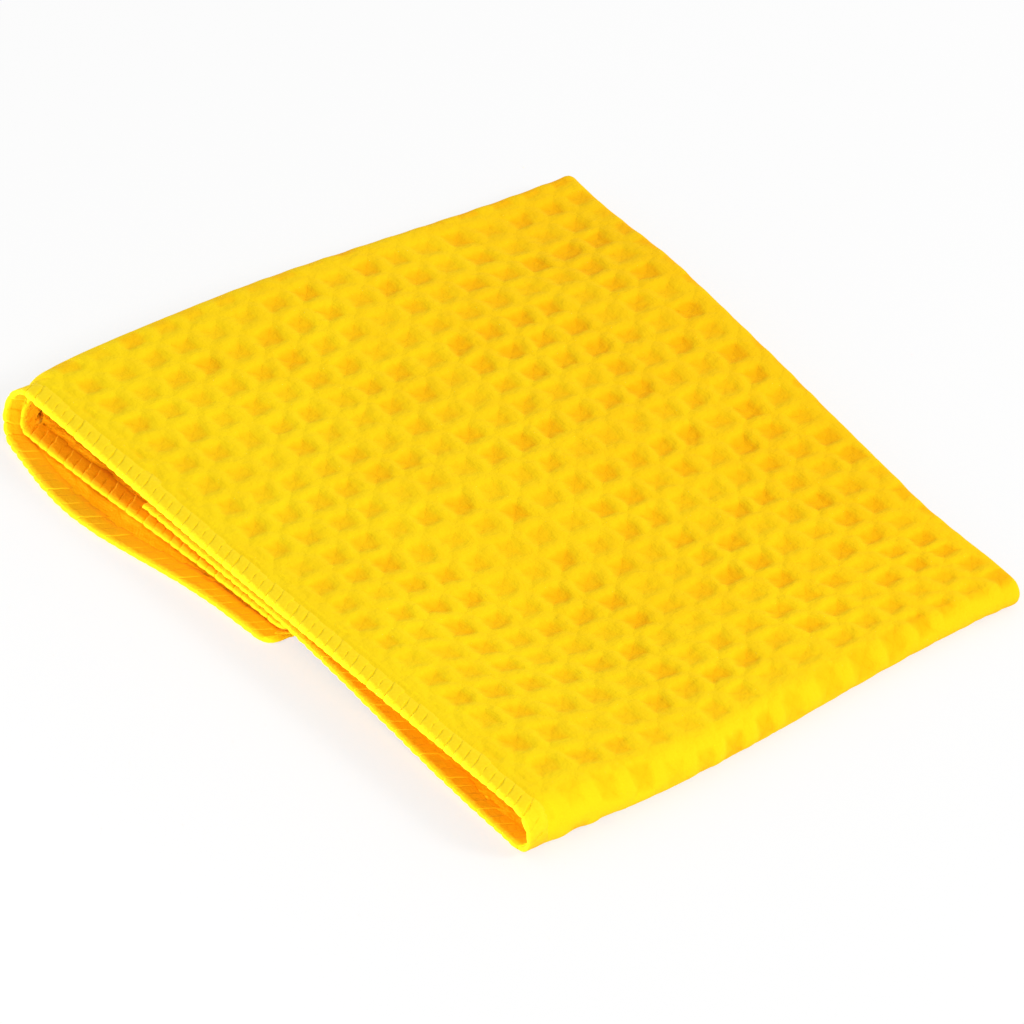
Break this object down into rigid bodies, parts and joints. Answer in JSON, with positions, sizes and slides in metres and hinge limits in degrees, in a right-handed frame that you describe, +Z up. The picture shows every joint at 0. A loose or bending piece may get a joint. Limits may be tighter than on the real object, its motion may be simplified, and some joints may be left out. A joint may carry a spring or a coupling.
{
  "type": "microfiber drying towel",
  "caption": "Yellow waffle-weave microfibre drying towel, doubled and then folded in three into a flat packet, with its overlocked side hems together along one edge.",
  "frame": {"origin": "middle of the folded packet's outline, on the plane it lies on", "axes": "+X from the open fold to the tight fold, +Y from the hems to the long fold, +Z up"},
  "size_m": [0.2702, 0.2205, 0.0187],
  "materials": {
    "waffle_microfibre": "matte waffle weave with a short soft pile",
    "overlock_thread": "matte textured polyester thread"
  },
  "bodies": {
    "root": {"towel_cloth": "waffle_microfibre", "outer_side_overlock": "overlock_thread", "inner_side_overlock": "overlock_thread", "ground_end_overlock": "overlock_thread", "tucked_end_overlock": "overlock_thread"}
  },
  "joints": []
}
